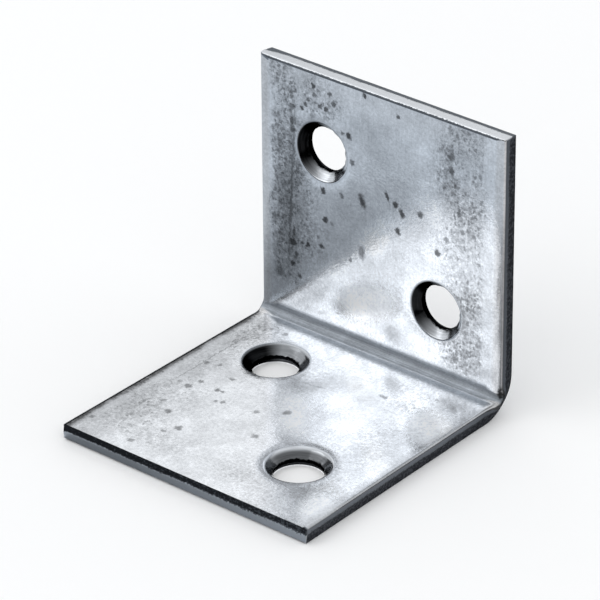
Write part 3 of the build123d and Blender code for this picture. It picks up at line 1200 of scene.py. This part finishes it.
@dataclass(frozen=True)
class ShearedEdge:
    """Steel cut through: a land that the shear burnished, then a torn face.

    The eye sees a narrow satin band and, past a ragged line, a dark rough one with paler dust on it. On the
    side edges the satin band is painted darker, as painted shade.
    """

    land: str = "DDE0E4"
    side_land: str = "7C8188"
    torn: str = "2C2E32"
    side_torn: str = "393B40"
    dusted: str = "74797F"
    grit_size: float = 0.3
    strip_middle: float = 18.45
    side_reach: float = 39.05
    land_roughness: float = 0.28
    torn_roughness: float = 0.6

    def build(self) -> Material:
        """Makes the material.

        Returns:
            The material.
        """
        material, add = new_material("sheared_steel_edge")
        place = add("Attribute", attribute_name="strip_place").outputs["Vector"]
        tear = add("Attribute", attribute_name="tear").outputs["Fac"]
        axes = add("SeparateXYZ", (place,)).outputs
        # The line between land and tear is ragged, more so toward the right
        ragged = {"Vector": place, "Scale": per_metre(self.grit_size), "Detail": 5.0, "Roughness": 0.75}
        ragged = add("MapRange", (add("TexNoise", ragged), 0.2, 0.8, -0.3, 0.3))
        swing = add("MapRange", (axes["X"], -14 * MM, 14 * MM, 0.7, 1.7))
        past = add("Math.MULTIPLY_ADD", (ragged, swing, tear))
        torn = add("MapRange", (past, -0.04, 0.06, 0.0, 1.0))
        # Dust lies all over the standing end and in flecks elsewhere
        least = add("MapRange", (axes["X"], -18 * MM, 18 * MM, 0.6, 0.49))
        fleck = add("TexNoise", {"Vector": place, "Scale": per_metre(self.grit_size), "Detail": 3.0})
        fleck = add("Math.SUBTRACT", (fleck, least))
        fleck = add("MapRange", (fleck, 0.0, 0.08, 0.0, 0.6))
        top = add("MapRange", (axes["Y"], 57 * MM, 57.5 * MM, 0.0, 1.0))
        dust = add("Math.MAXIMUM", (top, fleck))
        # Whatever isn't near one of the strip's two ends is a side edge
        off = add("Math.SUBTRACT", (axes["Y"], self.strip_middle * MM))
        off = add("Math.ABSOLUTE", (off,))
        side = add("Math.LESS_THAN", (off, self.side_reach * MM))
        broken = add("Mix.RGBA", {0: side, 6: linear(self.torn), 7: linear(self.side_torn)})
        broken = add("Mix.RGBA", {0: dust, 6: broken, 7: linear(self.dusted)})
        # Painted shade: the side edges' land takes a darker colour than the ends'
        land = add("Mix.RGBA", {0: side, 6: linear(self.land), 7: linear(self.side_land)})
        colour = add("Mix.RGBA", {0: torn, 6: land, 7: broken})
        rough = add("MapRange", (torn, 0.0, 1.0, self.land_roughness, self.torn_roughness))
        shader = add("BsdfPrincipled", {"Base Color": colour, "Metallic": 1.0, "Roughness": rough})
        add("OutputMaterial", {"Surface": shader})
        return material


@dataclass(frozen=True)
class PunchedWall:
    """The wall of a punched hole: zinc over the rolled mouth, a black torn lip, and grey scored steel below.

    The eye sees a bright ring with painted shade on one side of it, and black where the punch tore through.
    """

    mouth: str = "D2D6DB"
    lip: str = "111215"
    throat: str = "66686C"
    ragged_size: float = 0.5
    mouth_roughness: float = 0.2
    lip_roughness: float = 0.5

    def build(self) -> Material:
        """Makes the material.

        Returns:
            The material.
        """
        material, add = new_material("punched_steel_wall")
        place = add("Attribute", attribute_name="strip_place").outputs["Vector"]
        tear, stain_and_shade = (add("Attribute", attribute_name=name).outputs["Fac"] for name in ("tear", "stain_and_shade"))
        ragged = add("TexNoise", {"Vector": place, "Scale": per_metre(self.ragged_size), "Detail": 3.0})
        past = add("Math.MULTIPLY_ADD", (ragged, 0.5, -0.25))
        past = add("Math.ADD", (tear, past))
        torn = add("MapRange", (past, -0.08, 0.02, 0.0, 1.0))
        below = add("MapRange", (past, 0.5, 0.6, 0.0, 1.0))
        # Rings round the cone, and below it scores down through the sheet
        rings, scores = (
            add("Mapping", {"Vector": place, "Scale": (per_metre(flat), per_metre(flat), per_metre(down))})
            for flat, down in ((3.0, 0.14), (0.3, 2.5))
        )
        rings = add("TexNoise", {"Vector": rings, "Scale": 1.0, "Detail": 3.0})
        scores = add("TexNoise", {"Vector": scores, "Scale": 1.0, "Detail": 3.0, "Roughness": 0.65})
        streak = add("Mix", {0: below, 2: rings, 3: scores})
        streak = add("MapRange", (streak, 0.35, 0.65, 0.84, 1.1))
        colour = add("Mix.RGBA", {0: torn, 6: linear(self.mouth), 7: linear(self.lip)})
        colour = add("Mix.RGBA", {0: below, 6: colour, 7: linear(self.throat)})
        # Painted shade carried from the hole's wall darkens it, nearly to black where it is full
        kept = add("MapRange", (rings, 0.3, 0.7, -1.0, -0.98))
        kept = add("Math.MULTIPLY_ADD", (kept, stain_and_shade, 1.0))
        tone = add("Math.MULTIPLY", (streak, kept))
        colour = add("VectorMath.SCALE", {0: colour, "Scale": tone})
        rough = add("MapRange", (past, -0.1, 0.0, self.mouth_roughness, self.lip_roughness))
        # Painted shade and torn steel have no bright rim where they are seen edge on
        shade_and_torn = add("Math.MAXIMUM", (stain_and_shade, torn))
        tint = add("Mix.RGBA", {0: shade_and_torn, 6: (1, 1, 1, 1), 7: (0, 0, 0, 1)})
        feeds = {"Base Color": colour, "Metallic": 1.0, "Roughness": rough, "Specular Tint": tint}
        add("OutputMaterial", {"Surface": add("BsdfPrincipled", feeds)})
        return material


@dataclass
class Bracket:
    """The whole bracket."""

    strip: Strip = field(default_factory=Strip)
    relief_height: float = 0.02
    relief_size: float = 2.6
    seed: float = 3.0

    def build(self) -> Piece:
        """Meshes, folds and dresses the bracket.

        Returns:
            Its object.
        """
        strip = self.strip
        bracket = FlatBlank(strip).build("bracket")
        lengths = {
            "Outside radius": strip.outside_radius,
            "Inside radius": strip.inside_radius,
            "Sheet": strip.sheet,
            "Heel": strip.lying_leg / 2,
            "Rise": strip.flat_rise,
            "Ease": strip.fold_ease,
            "Fold start": strip.fold_start,
            "Fold length": strip.fold_length,
            "Relief height": self.relief_height,
            "Relief size": self.relief_size,
        }
        FoldTree().build().apply(bracket, {
            **{name: length * MM for name, length in lengths.items()},
            "Fold angle": math.pi / 2,
            "Seed": self.seed,
            "Face finish": ZincFace().build(),
            "Edge finish": ShearedEdge().build(),
            "Hole finish": PunchedWall().build(),
        })
        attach(bracket, "root")
        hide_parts(NODE)
        LOG.info("bracket of %d faces", len(bracket.data.polygons))
        return bracket


@dataclass(frozen=True)
class PlainBoard:
    """A studio surface of one colour, with no gloss to speak of: painted board or velvet."""

    name: str
    colour: tuple[float, float, float, float]
    roughness: float | None = None

    def build(self) -> Material:
        """Makes the material, with no gloss at all where no roughness is given.

        Returns:
            The material.
        """
        material, add = new_material(self.name)
        if self.roughness is None:
            shader = add("BsdfDiffuse", {"Color": self.colour})
        else:
            shader = add("BsdfPrincipled", {"Base Color": self.colour, "Roughness": self.roughness})
        add("OutputMaterial", {"Surface": shader})
        return material


@dataclass(frozen=True)
class PaintedShadowCard:
    """Matt grey card round the bracket's foot, with the bracket's shadow on the table painted into it: paler
    fields at its front and left, a narrow darker one right in front of the lying leg, darker at the back
    right, and a glow under the foot as painted light.

    Only the metal's gloss sees it, in its edges and through its holes. Sizes are in millimetres.
    """

    half_wide: float = 20.0
    half_long: float = 20.75
    shades: tuple[float, float] = (0.36, 0.66)
    front_shadow_shades: tuple[float, float] = (0.2, 0.38)
    left_shade: float = 0.82
    tint: tuple[float, float, float] = (0.93, 1.0, 1.08)
    behind: tuple[float, float, float, float] = (0.36, 0.365, 0.375, 1)
    beside: tuple[float, float, float, float] = (0.7, 0.7, 0.71, 1)
    painted_glow_reach: float = 16.5
    painted_glow_strength: float = 1.5

    def build(self) -> Material:
        """Makes the material.

        Returns:
            The material.
        """
        material, add = new_material("painted_shadow_card")
        place = add("TexCoord").outputs["Object"]
        x, y, _ = add("SeparateXYZ", (place,)).outputs
        # Painted shadow of the bracket on the table: darkest next to its foot and paler further out, sooner
        # to the front and back
        off = []
        for axis, half, stretch in ((x, self.half_wide, 1.0), (y, self.half_long, 4.0)):
            beyond = add("Math.ABSOLUTE", (axis,))
            beyond = add("Math.SUBTRACT", (beyond, half * MM))
            beyond = add("Math.MAXIMUM", (beyond, 0.0))
            off.append(add("Math.MULTIPLY", (beyond, stretch)))
        away = add("VectorMath.LENGTH", (add("CombineXYZ", off),))
        shade = add("MapRange.SMOOTHSTEP", (away, 5 * MM, 34 * MM, *self.shades))
        for field_share, field_shade in (self.front(add, x, y), self.left(add, x, y)):
            shade = add("Mix", {0: field_share, 2: shade, 3: field_shade})
        shade = add("VectorMath.SCALE", {0: self.tint, "Scale": shade})
        # Painted shadow at the back right of the bracket, and paler card at its right toward the front
        right = add("MapRange", (x, 19.5 * MM, 20.5 * MM, 0.0, 1.0))
        ahead = add("MapRange", (y, 20 * MM, 14 * MM, 0.0, 1.0))
        side = add("Mix.RGBA", {0: ahead, 6: self.behind, 7: self.beside})
        colour = add("Mix.RGBA", {0: right, 6: shade, 7: side})
        # Painted light: the card glows under the bracket's foot
        reach = add("VectorMath.LENGTH", (place,))
        under = add("Math.LESS_THAN", (reach, self.painted_glow_reach * MM))
        painted_glow = add("Emission", {"Color": (1, 1, 1, 1), "Strength": self.painted_glow_strength})
        board = add("BsdfDiffuse", {"Color": colour})
        add("OutputMaterial", {"Surface": add("MixShader", (under, board, painted_glow))})
        return material

    def front(self, add: Adder, x: Socket, y: Socket) -> tuple:
        """Adds the narrow field in front of the lying leg's end, a painted contact shadow that is darker at
        the left.

        Args:
            add: Adds a node to the tree.
            x: The place across.
            y: The place along.

        Returns:
            The node with the field's share, and the one with its shade.
        """
        shade = add("MapRange", (x, -10 * MM, 20 * MM, *self.front_shadow_shades))
        share = add("MapRange", (y, -23.8 * MM, -22.8 * MM, 0.0, 1.0))
        ahead = add("Math.LESS_THAN", (y, -20.5 * MM))
        for within in (ahead, self.inside(add, x)):
            share = add("Math.MULTIPLY", (share, within))
        return share, shade

    def left(self, add: Adder, x: Socket, y: Socket) -> tuple:
        """Adds the field at the left, painted paler than the painted shadow round it, whose rim leans out to
        the front and a little to the back.

        Args:
            add: Adds a node to the tree.
            x: The place across.
            y: The place along.

        Returns:
            The node with the field's share, and its shade.
        """
        further = add("Math.ADD", (y, 7 * MM))
        back, fore = (add("Math.MULTIPLY", (further, lean)) for lean in (0.045, -0.35))
        further = add("Math.MAXIMUM", (back, fore))
        further = add("Math.MINIMUM", (further, 3 * MM))
        share = add("Math.ADD", (x, further))
        share = add("MapRange", (share, -22.4 * MM, -21.8 * MM, 0.0, 1.0))
        share = add("Math.SUBTRACT", (share, self.inside(add, x)), use_clamp=True)
        near = add("Math.GREATER_THAN", (y, -21.5 * MM))
        return add("Math.MULTIPLY", (share, near)), self.left_shade

    def inside(self, add: Adder, x: Socket) -> Node:
        """Adds the test of whether a place lies right of the bracket's left side."""
        return add("Math.GREATER_THAN", (x, -20.5 * MM))


@dataclass
class Studio:
    """The floor, the lamps, the cards and the camera, in metres."""

    camera_place: tuple[float, float, float] = (0.321627, -0.382705, 0.298027)
    azimuth: float = 39.868
    elevation: float = 29.226
    roll: float = -0.441
    focal_pixels: float = 4531.87
    image_pixels: float = 600.0
    floor_wide: float = 8.0
    table_wide: float = 1.2
    skirt_radius: float = 0.9
    skirt_high: float = 0.29
    skirt_sides: int = 48
    lamp_distance: float = 1.2

    def place(self, name: str, points: list, quads: list, finish: Material) -> Piece:
        """Makes a surface that belongs to the studio.

        Args:
            name: The surface's name.
            points: Its corners.
            quads: Its faces, by the numbers of their corners.
            finish: Its material.

        Returns:
            Its object.
        """
        mesh = bpy.data.meshes.new(name)
        mesh.from_pydata(points, [], quads)
        mesh.materials.append(finish)
        piece = bpy.data.objects.new(name, mesh)
        bpy.context.scene.collection.objects.link(piece)
        return piece

    def sheet(
        self, name: str, centre: Vector, size: tuple[float, float], facing: Vector, finish: Material
    ) -> Piece:
        """Makes a flat sheet.

        Args:
            name: The sheet's name.
            centre: Where its middle is.
            size: How wide and how deep it is.
            facing: The direction that it faces.
            finish: Its material.

        Returns:
            Its object.
        """
        turn = facing.to_track_quat("Z", "Y").to_matrix()
        wide, deep = size[0] / 2, size[1] / 2
        corners = [(-wide, -deep, 0), (wide, -deep, 0), (wide, deep, 0), (-wide, deep, 0)]
        return self.place(name, [turn @ Vector(c) + centre for c in corners], [(0, 1, 2, 3)], finish)

    def skirt(self, name: str, finish: Material) -> Piece:
        """Makes a low round wall that stands on the table, far out.

        Args:
            name: The wall's name.
            finish: Its material.

        Returns:
            Its object.
        """
        sides, radius = self.skirt_sides, self.skirt_radius
        turns = [math.tau * step / sides for step in range(sides)]
        circle = [(radius * math.cos(a), radius * math.sin(a)) for a in turns]
        points = [(*place, up) for up in (0.0, self.skirt_high) for place in circle]
        quads = [(i, (i + 1) % sides, (i + 1) % sides + sides, i + sides) for i in range(sides)]
        return self.place(name, points, quads, finish)

    def camera(self) -> None:
        """Sets up the camera at the photograph's viewing angle."""
        data = bpy.data.cameras.new("camera")
        data.sensor_width = 36.0
        data.lens = self.focal_pixels / self.image_pixels * data.sensor_width
        data.clip_start, data.clip_end = 0.01, 50.0
        turn, rise, roll = (math.radians(a) for a in (self.azimuth, self.elevation, self.roll))
        back = Vector((math.sin(turn) * math.cos(rise), -math.cos(turn) * math.cos(rise), math.sin(rise)))
        level = Vector((math.cos(turn), math.sin(turn), 0))
        right = level * math.cos(roll) + back.cross(level) * math.sin(roll)
        axes = Matrix((right, back.cross(right), back)).transposed().to_4x4()
        camera = bpy.data.objects.new("camera", data)
        camera.matrix_world = Matrix.Translation(self.camera_place) @ axes
        bpy.context.scene.collection.objects.link(camera)
        bpy.context.scene.camera = camera

    def surfaces(self) -> None:
        """Lays the floor, and sets the cards that only the metal's gloss shows."""
        # The card lies a hair over the floor, and both lie a hair under the bracket
        up = Vector((0, 0, 1))
        board = PlainBoard("matt_white_board", linear("FCFCFC"), 0.9).build()
        self.sheet("floor", Vector((0, 0, -0.0001)), (self.floor_wide, self.floor_wide), up, board)
        size = (self.table_wide, self.table_wide)
        # This card has the bracket's shadow and a glow under its foot painted on it; only the metal's gloss
        # sees it
        table = self.sheet("painted_shadow_table_card", Vector((0, 0, -0.00005)), size, up, PaintedShadowCard().build())
        velvet = PlainBoard("black_velvet", (0.012, 0.012, 0.014, 1)).build()
        centre, facing = Vector((-0.62, 0.6, 0.19)), Vector((0.62, -0.6, 0))
        flag = self.sheet("black_flag", centre, (0.9, 0.38), facing, velvet)
        for card in (table, flag, self.skirt("dark_skirt", velvet)):
            for ray in ("camera", "diffuse", "transmission", "shadow"):
                setattr(card, f"visible_{ray}", False)

    def lamp(self, name: str, toward: tuple[float, float, float], wide: float, glow: float) -> None:
        """Hangs a square soft box that faces the bracket.

        Args:
            name: The lamp's name.
            toward: The direction from the bracket to the lamp.
            wide: The length of its sides in metres.
            glow: How bright its face is.
        """
        data = bpy.data.lights.new(name, "AREA")
        data.shape, data.size = "SQUARE", wide
        data.energy = glow * math.pi * wide * wide
        back = Vector(toward).normalized()
        axes = back.to_track_quat("Z", "Y").to_matrix().to_4x4()
        lamp = bpy.data.objects.new(name, data)
        lamp.matrix_world = Matrix.Translation(back * self.lamp_distance) @ axes
        bpy.context.scene.collection.objects.link(lamp)

    def world(self) -> None:
        """Sets the even light of the tent."""
        world = bpy.data.worlds.new("world")
        bpy.context.scene.world = world
        world.use_nodes = True
        tent = world.node_tree.nodes["Background"].inputs
        tent["Color"].default_value = (0.98, 0.99, 1, 1)
        tent["Strength"].default_value = 0.96

    def build(self) -> None:
        """Sets up everything round the bracket."""
        self.camera()
        self.surfaces()
        self.lamp("front_left_box", (-0.56, -0.67, 0.52), 0.9, 0.9)
        self.lamp("back_left_box", (-0.56, 0.67, 0.49), 1.0, 0.12)
        self.world()
        LOG.info("studio set up")


def main() -> None:
    """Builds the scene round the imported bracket."""
    logging.basicConfig(level=logging.INFO, format="%(name)s: %(message)s")
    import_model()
    bpy.context.scene.view_settings.view_transform = "Standard"
    Bracket().build()
    Studio().build()


if __name__ == "__main__":
    main()
